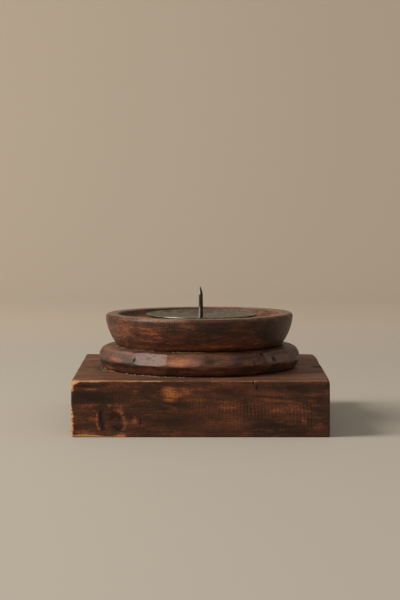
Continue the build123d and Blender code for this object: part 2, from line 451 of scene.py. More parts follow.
# %% Build the turning tree
def turning_tree():
    """The lathe: an outline, carried round Z, with flats and the unevenness of hand work."""
    g, given, names = new_tree(
        "turning", Object="Outline", Int="Outline Points, Turn Steps, Seed", Material="Finish",
        Float="Flat Count, Flat Turn, Arris, Upper Slope, Upper Distance, Lower Slope, Lower Distance, "
              "Wobble, Wobble Scale",
    )
    outline = g.add("GeometryNodeObjectInfo", sockets={"Object": given["Outline"]}, output="Geometry")
    sizes = {"Vertices X": given["Outline Points"], "Vertices Y": given["Turn Steps"]}
    sheet = g.add("GeometryNodeMeshGrid", sockets={"Size X": 1.0, "Size Y": 1.0, **sizes})
    u, v, _ = g.parts(g.position())
    row = ((u + 0.5) * (given["Outline Points"] - 1) + 0.5).math("FLOOR")
    lookup = {"Geometry": outline, "Value": g.position(), "Index": row}
    point = g.add("GeometryNodeSampleIndex", {"data_type": "FLOAT_VECTOR"}, lookup)
    radius, _, height = g.parts(point)
    angle = (0.5 - v) * (2 * math.pi)
    round_place = g.join(radius * angle.math("COSINE"), radius * angle.math("SINE"), height)
    turned = g.add("GeometryNodeSetPosition", sockets={"Geometry": sheet, "Position": round_place})
    turned = g.add("GeometryNodeMergeByDistance", sockets={"Geometry": turned, "Distance": 0.01 * MM})
    for level in ("Upper", "Lower"):
        turned = cut_flats(g, turned, given, level)
    spot = g.vector("ADD", g.position(), g.join(given["Seed"], 0.0, 0.0))
    uneven = g.noise(spot, given["Wobble Scale"], 3.0, 0.5) - 0.62
    push = g.scale(g.add("GeometryNodeInputNormal"), uneven * given["Wobble"])
    worked = g.add("GeometryNodeSetPosition", sockets={"Geometry": turned, "Offset": push})
    smooth = g.add("GeometryNodeSetShadeSmooth", sockets={"Geometry": worked})
    end_tree(g, smooth, given["Finish"])
    return g.tree, names


turning = turning_tree()
print("turning tree has", len(turning[0].nodes), "nodes")


# %% Helpers that draw outlines
def arc(centre, radius, start, end, gap):
    """Points of an arc in the outline's plane, from start to end in degrees, about gap mm apart."""
    count = max(2, math.ceil(abs(math.radians(end - start)) * radius / gap) + 1)
    turns = np.radians(np.linspace(start, end, count))
    return [(centre[0] + radius * math.cos(t), centre[1] + radius * math.sin(t)) for t in turns]


def draw_on(outline, *stretches):
    """Adds straight stretches to an outline, each (end point, gap between points in mm)."""
    for end, gap in stretches:
        start = np.array(outline[-1])
        count = max(1, math.ceil(math.dist(start, end) / gap))
        outline += [tuple(start + (np.array(end) - start) * k / count) for k in range(1, count + 1)]


# %% Helpers that bake a tree into a mesh
def new_object(name, data):
    obj = bpy.data.objects.new(name, data)
    bpy.context.scene.collection.objects.link(obj)
    return obj


def bake(obj):
    """Turns an object's modifiers into plain mesh and takes them off."""
    depsgraph = bpy.context.evaluated_depsgraph_get()
    mesh = bpy.data.meshes.new_from_object(obj.evaluated_get(depsgraph))
    obj.modifiers.clear()
    obj.data = mesh


def run_tree(name, tree, values):
    """A new object made by one geometry tree with these values for its named inputs."""
    group, names = tree
    obj = new_object(name, bpy.data.meshes.new(name))
    made = obj.modifiers.new("make", "NODES")
    made.node_group = group
    for key, value in values.items():
        made[names[key]] = value
    bake(obj)
    obj.data.materials.clear()
    obj.data.materials.append(values["Finish"])
    return obj


NO_FLATS = {"Flat Count": 12.0, "Upper Distance": 1.0, "Lower Distance": 1.0}


def turn(name, outline, finish, steps, seed, wobble, wobble_scale, flats=NO_FLATS, cuts=((), ())):
    """Turns a closed outline of radii and heights in mm into a named piece with flats of these depths."""
    mesh = bpy.data.meshes.new(name + "_outline")
    mesh.from_pydata([(r * MM, 0, z * MM) for r, z in outline], [], [])
    for key, depths in zip(("Upper Cut", "Lower Cut"), cuts):
        padded = [d * MM for d in depths] + [0.0] * (len(outline) - len(depths))
        mesh.attributes.new(key, "FLOAT", "POINT").data.foreach_set("value", padded)
    guide = new_object(name + "_outline", mesh)
    values = {"Outline": guide, "Outline Points": len(outline), "Turn Steps": steps + 1, "Finish": finish}
    values.update({"Seed": seed, "Wobble": wobble * MM, "Wobble Scale": wobble_scale, **flats})
    piece = run_tree(name, turning, values)
    bpy.data.objects.remove(guide)
    return piece


# %% Helpers that read and move a piece's points
def points_of(piece):
    """The piece's vertices in mm."""
    flat = np.zeros(len(piece.data.vertices) * 3, np.float32)
    piece.data.vertices.foreach_get("co", flat)
    return flat.reshape(-1, 3).astype(float) / MM


def move_points(piece, points):
    """Puts the piece's vertices at these places in mm."""
    piece.data.vertices.foreach_set("co", (points * MM).astype(np.float32).ravel())
    piece.data.update()


def round_places(points):
    """How far each point lies from the axis, and how many degrees round from the front."""
    x, y = points[:, 0], points[:, 1]
    return np.hypot(x, y), np.degrees(np.arctan2(x, -y))


def round_point(radius, degrees, height):
    """A point at this radius, degrees round from the front."""
    turn_by = math.radians(degrees - 90)
    return (radius * math.cos(turn_by), radius * math.sin(turn_by), height)


# %% Helpers that paint
def paint(piece, **marks):
    """Stores numbers on the vertices for the finish to read, one for each of them or the same for all."""
    for name, values in marks.items():
        spread = np.zeros(len(piece.data.vertices)) + values
        layer = piece.data.attributes.new(name, "FLOAT", "POINT")
        layer.data.foreach_set("value", spread.astype(np.float32))


def clamp(values):
    """Values held between 0 and 1."""
    return np.clip(values, 0, 1)


def window(values, low, high, soft):
    """1 between low and high, falling to 0 within soft on both sides."""
    return clamp((values - low) / soft + 0.5) * clamp((high - values) / soft + 0.5)


def dabs(points, marks):
    """Soft brush dabs, each (centre, reach, strength) in mm, as one number per point."""
    total = np.zeros(len(points))
    for centre, reach, strength in marks:
        away = np.sqrt((((points - centre) / reach) ** 2).sum(1))
        total += strength * clamp(1.25 - away) ** 1.5
    return total


def scatter_dabs(count, seed, low, high, reach, strength):
    """Dabs strewn by chance, so that the unseen sides are as uneven as the front."""
    chance = np.random.default_rng(seed)
    return [
        (chance.uniform(low, high), chance.uniform(*reach), chance.uniform(*strength))
        for _ in range(count)
    ]


def side_marks(on_side, *marks):
    """Brush dabs on a round side: each (degrees from the front, height, reach, strength)."""
    return [(on_side(degrees, height), reach, strength) for degrees, height, reach, strength in marks]


# %% A helper that seats a piece on the frame
def seat(piece, body, node):
    """Lets a piece ride its body and stand for its CAD node, which it hides."""
    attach(piece, body)
    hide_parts(node)
    print(piece.name, "has", len(piece.data.polygons), "faces")


# %% [markdown]
# ## Knife nicks, chips and bores
#
# A nick has crisp sides, which noise on a mesh can't give at a sensible density. It is taken out with a
# Boolean instead, as a blade takes it out: small dented lens shapes for nicks and chips, plain
# cylinders for bores.


# %% Cutters
def object_of(shape, name):
    """Turns a finished edit mesh into an object."""
    mesh = bpy.data.meshes.new(name)
    shape.to_mesh(mesh)
    shape.free()
    return new_object(name, mesh)


def lens_cutter(nicks, seed):
    """One object of dented lens shapes, each (centre, half sizes, turn in degrees) in mm."""
    shape = bmesh.new()
    for index, (centre, half, turned) in enumerate(nicks):
        spin = Euler([math.radians(a) for a in turned]).to_matrix().to_4x4()
        size = Matrix.Diagonal((*[h * MM for h in half], 1))
        made = bmesh.ops.create_icosphere(shape, subdivisions=3, radius=1.0)["verts"]
        for vert in made:
            vert.co *= 1 + 0.28 * noise.noise(vert.co * 1.7 + Vector((seed, index * 3.1, 0)))
        place = Matrix.Translation(Vector(centre) * MM)
        bmesh.ops.transform(shape, matrix=place @ spin @ size, verts=made)
    return object_of(shape, "nicks")


def bore_cutter(radius, low, high, sides=96, turned=0.0):
    """A round or square prism on the axis, from low to high, in mm."""
    shape = bmesh.new()
    middle = Matrix.Translation((0, 0, (low + high) / 2 * MM))
    bmesh.ops.create_cone(
        shape, cap_ends=True, segments=sides, radius1=radius * MM, radius2=radius * MM,
        depth=(high - low) * MM, matrix=middle @ Matrix.Rotation(math.radians(turned), 4, "Z"),
    )
    return object_of(shape, "bore")


# %% Carving with the cutters
SHARP_ANGLE = math.radians(38)


def clean(mesh):
    """Takes out slivers and loose edges that a cut can leave."""
    shape = bmesh.new()
    shape.from_mesh(mesh)
    bmesh.ops.dissolve_degenerate(shape, edges=shape.edges[:], dist=0.002 * MM)
    loose = [edge for edge in shape.edges if not edge.link_faces]
    bmesh.ops.delete(shape, geom=loose, context="EDGES")
    open_edges = [edge for edge in shape.edges if len(edge.link_faces) != 2]
    print(mesh.name, "has", len(open_edges), "open edges")
    shape.to_mesh(mesh)
    shape.free()


def carve(piece, *cutters):
    """Takes the cutters' shapes out of a piece."""
    for cutter in cutters:
        cutter.data.materials.append(piece.data.materials[0])
        cut = piece.modifiers.new("cut", "BOOLEAN")
        cut.operation = "DIFFERENCE"
        cut.solver = "EXACT"
        cut.object = cutter
    bake(piece)
    for cutter in cutters:
        bpy.data.objects.remove(cutter)
    clean(piece.data)
    piece.data.shade_smooth()
    piece.data.set_sharp_from_angle(angle=SHARP_ANGLE)


# %% [markdown]
# ## The plinth
#
# A sawn block whose edges have been knocked and rubbed for years. A bevel of one width would look
# machined, so the block is made as a fine grid and every vertex near an edge is pulled on to a round
# whose radius wanders along the edge. The grid is closest near the edges, where the wear shows. Chips,
# cracks and the torn knot are cut afterwards.

# %% Grid lines of the block, closer near its edges
EDGE_LINES = (0.0, 0.3, 0.65, 1.05, 1.5, 2.05, 2.7, 3.5, 4.5)
FACE_GAPS = (1.05, 2.1, 1.05)


def lines_between(low, high, gap):
    """Grid lines from low to high, about gap apart in the middle."""
    inner = high - low - 2 * EDGE_LINES[-1]
    count = max(1, round(inner / gap))
    middle = [low + EDGE_LINES[-1] + inner * k / count for k in range(1, count)]
    return [low + e for e in EDGE_LINES] + middle + [high - e for e in reversed(EDGE_LINES)]


def block_mesh(name, xs, ys, zs):
    """The six faces of a block as one welded grid of quads that face outwards."""
    index, points, faces = {}, [], []

    def corner(i, j, k):
        if (i, j, k) not in index:
            index[i, j, k] = len(points)
            points.append((xs[i] * MM, ys[j] * MM, zs[k] * MM))
        return index[i, j, k]

    last = (len(xs) - 1, len(ys) - 1, len(zs) - 1)
    for axis in range(3):
        a, b = (axis + 1) % 3, (axis + 2) % 3
        for end in (0, last[axis]):
            for p, q in np.ndindex(last[a], last[b]):
                ring = []
                for dp, dq in ((0, 0), (1, 0), (1, 1), (0, 1)):
                    spot = [0, 0, 0]
                    spot[axis], spot[a], spot[b] = end, p + dp, q + dq
                    ring.append(corner(*spot))
                faces.append(ring if end else ring[::-1])
    mesh = bpy.data.meshes.new(name)
    mesh.from_pydata(points, [], faces)
    return mesh


# %% Wear the block's edges
WORN_CORNERS = (
    ((-100, -100, 44), 9, 3.2), ((-100, -100, 8), 10, 0.9), ((98, -100, 44), 10, 2.2),
    ((-88, 100, 44), 9, 2.0), ((100, 100, 44), 10, 2.6), ((100, 30, 44), 6, 1.2),
)
EDGE_WEAR = (0.55, 1.5)
FACE_WAVE = 0.2
FLAT_FOOT = 1.5
SWELL = np.array((0.4, 0.0, 0.0))


def wear_block(mesh, low, high):
    """Pulls the vertices near each edge on to a wandering round, and lets the faces dip a little."""
    centre, half = (low + high) / 2, (high - low) / 2
    for vert in mesh.vertices:
        point = np.array(vert.co) / MM
        chance = 0.5 + 0.5 * noise.noise(Vector(point * 0.045)) + 0.25 * noise.noise(Vector(point * 0.21))
        radius = EDGE_WEAR[0] + (EDGE_WEAR[1] - EDGE_WEAR[0]) * chance
        for corner, reach, extra in WORN_CORNERS:
            radius += extra * math.exp(-((math.dist(point, corner) / reach) ** 2))
        local = point - centre
        core = np.clip(local, radius - half, half - radius)
        out = (local - core) / max(np.linalg.norm(local - core), 1e-9)
        dip = FACE_WAVE * (0.5 + 0.5 * noise.noise(Vector(point * 0.022 + 7.0)))
        sunk = 0.0 if point[2] < FLAT_FOOT else dip
        vert.co = (centre + core + out * (radius - sunk)) * MM


block_low, block_high = plinth_low - SWELL, plinth_high + SWELL
grid = [lines_between(*limits) for limits in zip(block_low, block_high, FACE_GAPS)]
plinth_mesh = block_mesh("plinth_worn", *grid)
wear_block(plinth_mesh, block_low, block_high)
plinth_mesh.materials.append(plinth_wood)
plinth = new_object("worn_plinth", plinth_mesh)
print("block of", len(plinth_mesh.polygons), "faces")

# %% Chips, cracks, the torn knot and the bores
MORTISE_RADIUS = 20.2
MORTISE_DEPTH = 12.0
ROD_HOLE_RADIUS = 3.3
NUT_RECESS_RADIUS = 9.8
NUT_RECESS_DEPTH = 14.0
PAST_FACE = 5.0
PAST_BORE = 2.0

UNTURNED = (0, 0, 0)
EDGE_CHIPS = (
    ((-101, -100.6, 24.6), (1.4, 2, 3), (0, 12, 10)), ((-101.2, -100.6, 20.6), (2, 2, 1), (0, 8, 0)),
    ((-101, -100.8, 16.8), (3, 2.2, 1.6), (10, 0, 0)),
    ((-101, -100.7, 10.6), (2, 2.3, 2.7), (0, 15, 30)),
    ((-101, -100.8, 4.6), (2.6, 2.2, 2.3), (0, -20, 0)),
    ((-91, -100.9, -0.3), (9, 1.7, 1.7), (0, 2, 0)),
    ((-64.5, -100.8, -0.2), (3.8, 1.6, 1.6), (0, 4, 0)), ((-78, -100.9, -0.2), (3, 1.4, 1.3), UNTURNED),
    ((41.2, -100.3, 44.2), (0.8, 2.2, 3.2), (0, 14, 0)),
    ((43.7, -100.4, 39.9), (1.5, 1, 2.3), (0, -18, 0)),
    ((100.6, -100.6, 16.7), (1.6, 1.7, 1.5), UNTURNED),
    ((100.6, -100.6, 8.2), (1.5, 1.6, 2), (0, 0, 20)), ((100.6, 4, 44.4), (2.2, 3.4, 1.6), (0, 0, 8)),
    ((-100.6, 52, 44.2), (1.6, 5, 1.4), UNTURNED), ((30, 100.7, 44.2), (6, 1.7, 1.5), UNTURNED),
    ((-56, 100.6, -0.2), (5, 1.8, 1.5), UNTURNED), ((100.6, 62, -0.1), (1.7, 4.2, 1.6), UNTURNED),
    ((-18, -101, 44.3), (9, 1.5, 1.2), UNTURNED), ((100.7, 100.5, 22), (2.2, 2.2, 5), UNTURNED),
    ((-100.7, 100.6, 30), (2, 2.2, 4), UNTURNED),
)
TEARS_AND_CRACKS = (
    ((-66, -102.5, 13), (8.5, 3.4, 11), UNTURNED), ((-77.4, -100.1, 16), (0.7, 0.5, 6), (0, -8, 0)),
    ((-75.6, -100.1, 8), (0.9, 0.5, 3.6), (0, 12, 0)), ((-64.5, -100, 6.2), (5, 0.9, 0.6), (0, 32, 0)),
    ((-91, -8, 44), (4.6, 0.7, 0.6), (0, 0, 5)), ((96.2, -1.7, 44.3), (4.6, 4, 1.9), (0, 0, -8)),
)
CHIP_SEED = 4.0
mortise_floor = plinth_top - MORTISE_DEPTH
carve(
    plinth,
    lens_cutter(EDGE_CHIPS, CHIP_SEED),
    *[lens_cutter([tear], CHIP_SEED) for tear in TEARS_AND_CRACKS],
    bore_cutter(MORTISE_RADIUS, mortise_floor, plinth_top + PAST_FACE),
    bore_cutter(ROD_HOLE_RADIUS, NUT_RECESS_DEPTH - PAST_BORE, mortise_floor + PAST_BORE, 48),
    bore_cutter(NUT_RECESS_RADIUS, -PAST_FACE, NUT_RECESS_DEPTH),
)
print("carved plinth has", len(plinth.data.polygons), "faces")


# %% Where the front of the plinth is rubbed, sooty or sawn
def front_marks(*marks):
    """Brush dabs on the front face: each (x, z, reach along x, reach along z, strength) in mm."""
    return [((x, plinth_low[1], z), (wide, 12.0, tall), strength) for x, z, wide, tall, strength in marks]


FRONT_RUBS = front_marks(
    (-25, 36.8, 6.8, 4.8, 1.7), (-22, 32.4, 7.4, 4.4, 1.5), (-13, 35.6, 9, 4.4, 0.85),
    (-4, 37, 10, 2.4, 0.6), (-25, 29, 5.4, 2.4, 0.7), (-84, 37.2, 8, 1.1, 0.95),
    (-51, 13, 3.2, 3.8, 0.85), (-20, 23, 6, 1.8, 0.5), (20, 24.5, 14, 6, 0.5),
    (48, 29.5, 22, 4.4, 0.48), (-79.2, 21, 0.9, 2, 0.7), (-80.3, 17.4, 0.9, 2, 1.5),
    (-80.7, 13.8, 0.9, 2.2, 1.8), (-80, 10, 0.9, 2, 1.5), (-78.6, 6.6, 1, 1.8, 0.8),
    (-66.4, 21.4, 2, 1.2, 0.8), (-63.4, 20.6, 1.8, 1.2, 1.6), (-61, 18.6, 1.2, 1.6, 1.8),
    (-59.7, 15, 1, 2, 1.5), (-58.8, 11, 0.9, 2.2, 0.8), (-58, 7.4, 0.9, 1.8, 0.7), (-67, 14, 3, 4, 0.5),
    (-70.8, 24.6, 2.2, 2.6, 0.7), (-65, 25.6, 2.2, 1.8, 0.5), (72, 22.5, 16, 6, 0.4),
    (80.5, 12.5, 3.4, 3.8, 0.75), (-85, 25, 12, 3.4, 0.45), (-84, 15, 6, 4, 0.45),
    (-92, 4, 14, 3.2, 0.8), (-62, 21, 3.6, 3.6, 0.6), (-50, 35.5, 3.6, 2.2, 0.6), (-44, 8, 6, 3, 0.4),
    (10, 11, 22, 2, 0.2), (-60, 2.2, 6, 2, 0.7), (34, 6, 30, 2.4, 0.2), (92, 8, 8, 6, 0.3),
)
FRONT_SOOT = front_marks(
    (-82, 31, 28, 6.5, 0.5), (43.6, 38.4, 1.3, 1.8, 0.9), (-90, 40, 9, 1.5, 0.6),
    (62, 39, 44, 4.6, 0.45), (50, 9, 22, 5, 0.3), (72, 6, 20, 4, 0.25), (30, 5, 20, 4, 0.25),
    (4, 14, 20, 6, 0.3), (-18, 25, 22, 4, 0.4), (18, 36, 15, 4, 0.45), (-77.6, 19, 1.7, 3.4, 0.9),
    (-77.4, 13, 1.9, 4, 1), (-75.8, 7.4, 1.9, 3.4, 0.9), (-62.6, 14, 1.2, 4.4, 0.8),
    (-46.8, 12, 0.9, 4.4, 0.8), (-54.4, 14, 1, 4, 0.6), (-18, 12, 20, 6, 0.35), (-64, 8, 6, 3.4, 0.6),
    (92, 27, 6, 8, 0.3),
)
FRONT_SAWN = front_marks(
    (34, 21, 36, 9, 1.3), (80, 18, 17, 13, 1.2), (-8, 26, 20, 12, 0.3), (-24, 34, 10, 7, 0.4),
)
print("front marks:", len(FRONT_RUBS), "rubbed,", len(FRONT_SOOT), "sooty,", len(FRONT_SAWN), "sawn")


# %% Where the top of the plinth is rubbed or sooty, and where light is painted on it
def top_marks(*marks):
    """Brush dabs on the top: each (x, y, reach along x, reach along y, strength) in mm."""
    return [((x, y, plinth_top), (wide, deep, 4.0), strength) for x, y, wide, deep, strength in marks]


STREAK_DEPTH = 3.6
# The one dab on the right paints light on the part of the top that the ring and bowl shade.
TOP_LIGHT_LIFT = top_marks((84, -10, 16, 60, 0.3))
chance = np.random.default_rng(23)
streaks = chance.uniform((-95, -95, 8, 0.2), (95, 95, 24, 0.7), (70, 4))
TOP_SOOT = top_marks(
    (-80, -8, 7, 36, 0.7), (-40, -86, 36, 12, 0.5), (95.6, -1.7, 4.6, 5, 1.2),
    *[(x, y, wide, STREAK_DEPTH, strength) for x, y, wide, strength in streaks],
)
print("top marks:", len(TOP_LIGHT_LIFT), "rubbed,", len(TOP_SOOT), "sooty")


# %% Where the plinth's edges are bare
def edge_distance(points, low, high):
    """How far each point is from the nearest edge of the block, in mm."""
    gaps = np.sort(np.minimum(points - low, high - points), axis=1)
    return np.hypot(np.maximum(gaps[:, 0], 0), np.maximum(gaps[:, 1], 0))


CORNER_MARKS = [
    ((-98.5, -100, 44), (5, 8, 3.4), 1.8), ((-87, -100, 44.2), (14, 6, 1.9), 1.1),
    ((-100.4, -100, 10), (3, 5, 16), 0.6), ((-90, -100, 1), (12, 5, 3), 0.7),
    ((-62, -100, 0.6), (5, 5, 2.4), 0.8), ((-82, -100, 0.4), (24, 5, 1.2), 0.6),
    ((-100, -60, 44), (3.4, 50, 3), 0.2), ((-58, -100, 44.2), (26, 6, 1.3), 0.6),
    ((-100.4, -100, 38.5), (3, 5, 4), 0.9),
]
CHIP_MARKS = [(c, np.array(h) * 1.1, 0.8 if c[0] < 0 else 0.4) for c, h, _ in EDGE_CHIPS]
plinth_points = points_of(plinth)
patchy = np.array([0.55 + 0.7 * noise.noise(Vector(p * 0.07)) for p in plinth_points])
bareness = np.interp(plinth_points[:, 0], (-99, -97, -20, 20, 75), (0.5, 1.0, 0.9, 0.6, 0.3))
bareness *= np.where(plinth_points[:, 2] < 3, 0.45, 1.0)
edges = clamp(1.25 - edge_distance(plinth_points, block_low, block_high))
edges *= np.clip(patchy, 0.1, 1.0) * bareness
print("bare or half bare points:", int((edges > 0.4).sum()))

# %% Paint the plinth
FRONT_SKIN = 3.0
unseen = np.where(plinth_points[:, 1] < plinth_low[1] + FRONT_SKIN, 0.0, 1.0)
on_top = clamp((plinth_points[:, 2] - plinth_top + 1.2) / 0.8)
strewn = scatter_dabs(60, 11, plinth_low, plinth_high, (8, 24), (0.1, 0.6))
# The whole top is lightened through the rub and handled marks, partly its own worn, dusty tone and partly
# a painted sheen.
top_rub_and_light = on_top * (0.3 + dabs(plinth_points, TOP_LIGHT_LIFT))
paint(
    plinth,
    rub=dabs(plinth_points, FRONT_RUBS) + unseen * dabs(plinth_points, strewn) + top_rub_and_light,
    soot=dabs(plinth_points, FRONT_SOOT) + on_top * dabs(plinth_points, TOP_SOOT),
    sawn=(dabs(plinth_points, FRONT_SAWN) + 0.2 + unseen * 0.4) * (1 - on_top),
    handled=on_top * 0.22,
    bare=np.clip(edges + dabs(plinth_points, CHIP_MARKS + CORNER_MARKS), 0, 1.2),
)
seat(plinth, "stand", "plinth")

# %% [markdown]
# ## The ring
#
# A heavy ring with a full, rounded shoulder, flattened with a knife all the way round, so that it
# catches the light in planes. Bevelled boxes round a circle would give planes too, but not the round
# between them. So it is turned, and its flats come from the turning tree: eighteen above the waist and
# eighteen below, each of its own depth.

# %% Draw the ring's outline
RING_WAIST_HEIGHT = 8.8
RING_FOOT_RADIUS = 77.0
RING_TOP_RISE = 0.3
RING_SEAT_RADIUS = 67.6
SHOULDER_FULLNESS = 2.5

waist = (ring_high[0], plinth_top + RING_WAIST_HEIGHT)
shoulder_round = bowl_foot - RING_TOP_RISE - waist[1]
shoulder_centre = (waist[0] - shoulder_round, waist[1])
foot_in, foot_down = waist[0] - RING_FOOT_RADIUS, waist[1] - ring_low[2]
foot_round = (foot_in**2 + foot_down**2) / (2 * foot_in)
foot_centre = (waist[0] - foot_round, waist[1])
foot_angle = math.degrees(math.atan2(-foot_down, RING_FOOT_RADIUS - foot_centre[0]))

ring_outline = [(MORTISE_RADIUS, ring_low[2])]
draw_on(ring_outline, ((RING_FOOT_RADIUS, ring_low[2]), 14))
ring_outline += arc(foot_centre, foot_round, foot_angle, 0, 0.5)[1:]
for ways in arc((0.0, 0.0), 1.0, 0, 90, 0.05)[1:]:
    fuller = [max(way, 0.0) ** (2 / SHOULDER_FULLNESS) for way in ways]
    ring_outline.append(tuple(c + shoulder_round * way for c, way in zip(shoulder_centre, fuller)))
draw_on(
    ring_outline, ((RING_SEAT_RADIUS, bowl_foot), 0.8), ((MORTISE_RADIUS, bowl_foot), 14),
    (ring_outline[0], 9),
)
print("ring outline has", len(ring_outline), "points")


# %% Turn the ring and cut its flats
def flat_distance(centre, radius, slope):
    """How far a plane that just touches a round section lies from the origin, in metres."""
    return (centre[0] * math.cos(slope) + centre[1] * math.sin(slope) + radius) * MM


FIRST_FLAT = 11.0
RING_FLAT_SLOPE = math.radians(30.0)
UPPER_CUTS = (1.2, 1.0, 1.4, 0.5, -0.35, 0.8, 0.6, 1.2, 0.5, 0.8, 1.3, 0.9, 0.7, -0.35, 0.7, 1.1, 1.9, 1.7)
LOWER_CUTS = (0.8, 1.1, 1.3, 0.8, 0.2, 0.8, 0.6, 1.0, 0.7, 0.6, 1.0, 0.8, 0.6, 0.2, 0.9, 1.3, 1.5, 1.3)
ring_flats = {
    "Flat Count": float(len(UPPER_CUTS)), "Flat Turn": math.radians(FIRST_FLAT - 90), "Arris": 0.35 * MM,
    "Upper Slope": RING_FLAT_SLOPE, "Lower Slope": -RING_FLAT_SLOPE,
    "Upper Distance": flat_distance(shoulder_centre, shoulder_round, RING_FLAT_SLOPE),
    "Lower Distance": flat_distance(foot_centre, foot_round, -RING_FLAT_SLOPE),
}
ring = turn(
    "faceted_ring", ring_outline, ring_wood, steps=840, seed=3, wobble=0.45, wobble_scale=90.0,
    flats=ring_flats, cuts=(UPPER_CUTS, LOWER_CUTS),
)
print("ring has", len(UPPER_CUTS), "flats above and", len(LOWER_CUTS), "below")


# %% Nick the ring
def on_ring(degrees, height, inset=0.0):
    """A point on the ring's side, degrees round from the front, height mm above the plinth."""
    lift = height - RING_WAIST_HEIGHT
    radius = shoulder_centre[0] + math.sqrt(max(shoulder_round**2 - lift**2, 0)) - inset
    return round_point(radius, degrees, plinth_top + height)


RING_NICKS = (
    (on_ring(-39.2, 12.9), (0.7, 1.4, 3.3), (-20, 22, -40)),
    (on_ring(38.5, 16.4), (1.6, 1.4, 0.9), (0, 30, 38)),
    (on_ring(47.5, 12, 0.5), (2, 1.4, 2.6), (-20, 0, 48)),
    (on_ring(130, 13), (1, 1.6, 1.8), (0, 30, 130)), (on_ring(205, 11), (1.8, 1.4, 0.8), (0, 12, 205)),
    (on_ring(282, 14.2), (0.8, 1.7, 2), (0, -24, 282)),
)
NICK_SEED = 9.0
carve(ring, lens_cutter(RING_NICKS, NICK_SEED))

# %% Where the ring is rubbed, sooty or handled, and where sheen is painted on it
RING_RUBS = side_marks(
    on_ring, (-12, 12, (15, 12, 5), 1.5), (30, 11, (14, 12, 4), 0.4), (-55, 10.5, (18, 18, 3.4), 0.75),
    (-30, 5, (22, 12, 3.4), 0.6), (-9, 4.5, (14, 12, 1.6), 0.7), (12, 4, (9, 12, 1.2), 0.6),
    (-48, 16.5, (14, 14, 1.6), 0.5), (-66, 2.5, (18, 18, 2.4), 1.0), (-20, 16.5, (24, 14, 1.4), 0.5),
)
RING_SOOT = side_marks(
    on_ring, (6, 12.5, (7, 12, 3), 0.7), (55, 13, (14, 14, 4), 0.3), (-39.2, 12.6, (1.8, 4, 3), 0.8),
    (47.5, 12.4, (3, 5, 3.2), 1.3), (38.5, 16.4, (2.2, 4, 2), 0.6), (20, 14, (6, 8, 2), 0.3),
)
ring_points = points_of(ring)
ring_reach, ring_turn = round_places(ring_points)
ring_rise = ring_points[:, 2] - plinth_top


def ring_patch(turn_limits, rise_limits):
    """A soft-edged patch on the ring's side: degrees from, to and softness, then heights likewise."""
    return window(ring_turn, *turn_limits) * window(ring_rise, *rise_limits)


# Painted highlight and sheen, laid on through the handled mark: the pink flat on the front-left, where the
# lamp's highlight falls, and the flats that catch the lamp to the front, the left and the right, less
# round the nick.
pink_flat_highlight = ring_patch((-37.2, -18.8, 1.3), (8.7, 17.0, 0.9))
pink_flat_highlight *= clamp((17.0 - np.maximum(ring_turn + 26.7, 0) * 0.4 - ring_rise) / 0.8 + 0.5)
pink_flat_highlight *= np.interp(ring_turn, (-37, -25, -19), (0.2, 0.45, 0.3))
painted_sheen = 0.35 * ring_patch((-19, 0, 3), (8.7, 14, 3))
painted_sheen += 0.3 * ring_patch((-80, -44, 10), (16, 20, 1.6))
painted_sheen += 0.5 * ring_patch((41, 63, 4), (9, 15, 2))
painted_sheen *= 1 - 0.9 * ring_patch((45.6, 49.4, 1.6), (10.2, 14.4, 1.6))
print("most handled spot of the ring", round(float((pink_flat_highlight + painted_sheen).max()), 2))

# %% Paint the ring, with painted shade under its waist, at its foot and by its seat, and set it aside
SET_TO_LEFT = 1.0
SET_FROM = 30.0
SET_OVER = 30.0


def set_aside(piece):
    """Moves a turned piece's outer part a little to the left of its bore, as hand work leaves it."""
    points = points_of(piece)
    points[:, 0] -= SET_TO_LEFT * clamp((round_places(points)[0] - SET_FROM) / SET_OVER)
    move_points(piece, points)


# Painted shade: the ring darkens towards its foot and towards its seat under the bowl, and shadow_line
# darkens the band under the waist arris; all go into the soot mark with the listed soot dabs.
shadow_line = ring_patch((-84, -36, 8), (5.6, 8.5, 1.0))
dull_left = ring_patch((-110, -50, 12), (8.6, 17, 2))
strewn = scatter_dabs(26, 5, (-82, -40, ring_low[2]), (82, 82, bowl_foot), (9, 20), (0.1, 0.5))
ring_foot_shade = clamp((3.0 - ring_rise) / 3.0)
seat_shade = clamp((RING_SEAT_RADIUS + 3.0 - ring_reach) / 3.0)
sooty = dabs(ring_points, RING_SOOT) + ring_foot_shade * 0.5 + seat_shade * 0.7 + shadow_line * 0.7 + dull_left * 0.1
paint(
    ring, rub=dabs(ring_points, RING_RUBS + strewn), soot=clamp(sooty), handled=pink_flat_highlight + painted_sheen,
    bare=0.0, sawn=0.0,
)
set_aside(ring)
seat(ring, "stand", "torus_ring")

# %% [markdown]
# ## The bowl
#
# One turned piece: a shallow dish with a broad lip, and below it a spigot that goes through the ring
# into the plinth. It could be a dish with holes cut in it, but the whole section is easily drawn as one
# closed outline, so the bore for the rod and the pocket for the nut are part of it.

# %% Draw the bowl's outline
BOWL_FOOT_RADIUS = 67.3
BOWL_SIDE_BULGE = 2.0
LIP_OUTER_ROUND = 2.9
LIP_FLAT = 6.0
LIP_INNER_ROUND = 3.5
RECESS_WALL_SLOPE = 60.0
SPIGOT_RADIUS = 20.0
NUT_POCKET_DEPTH = 7.4

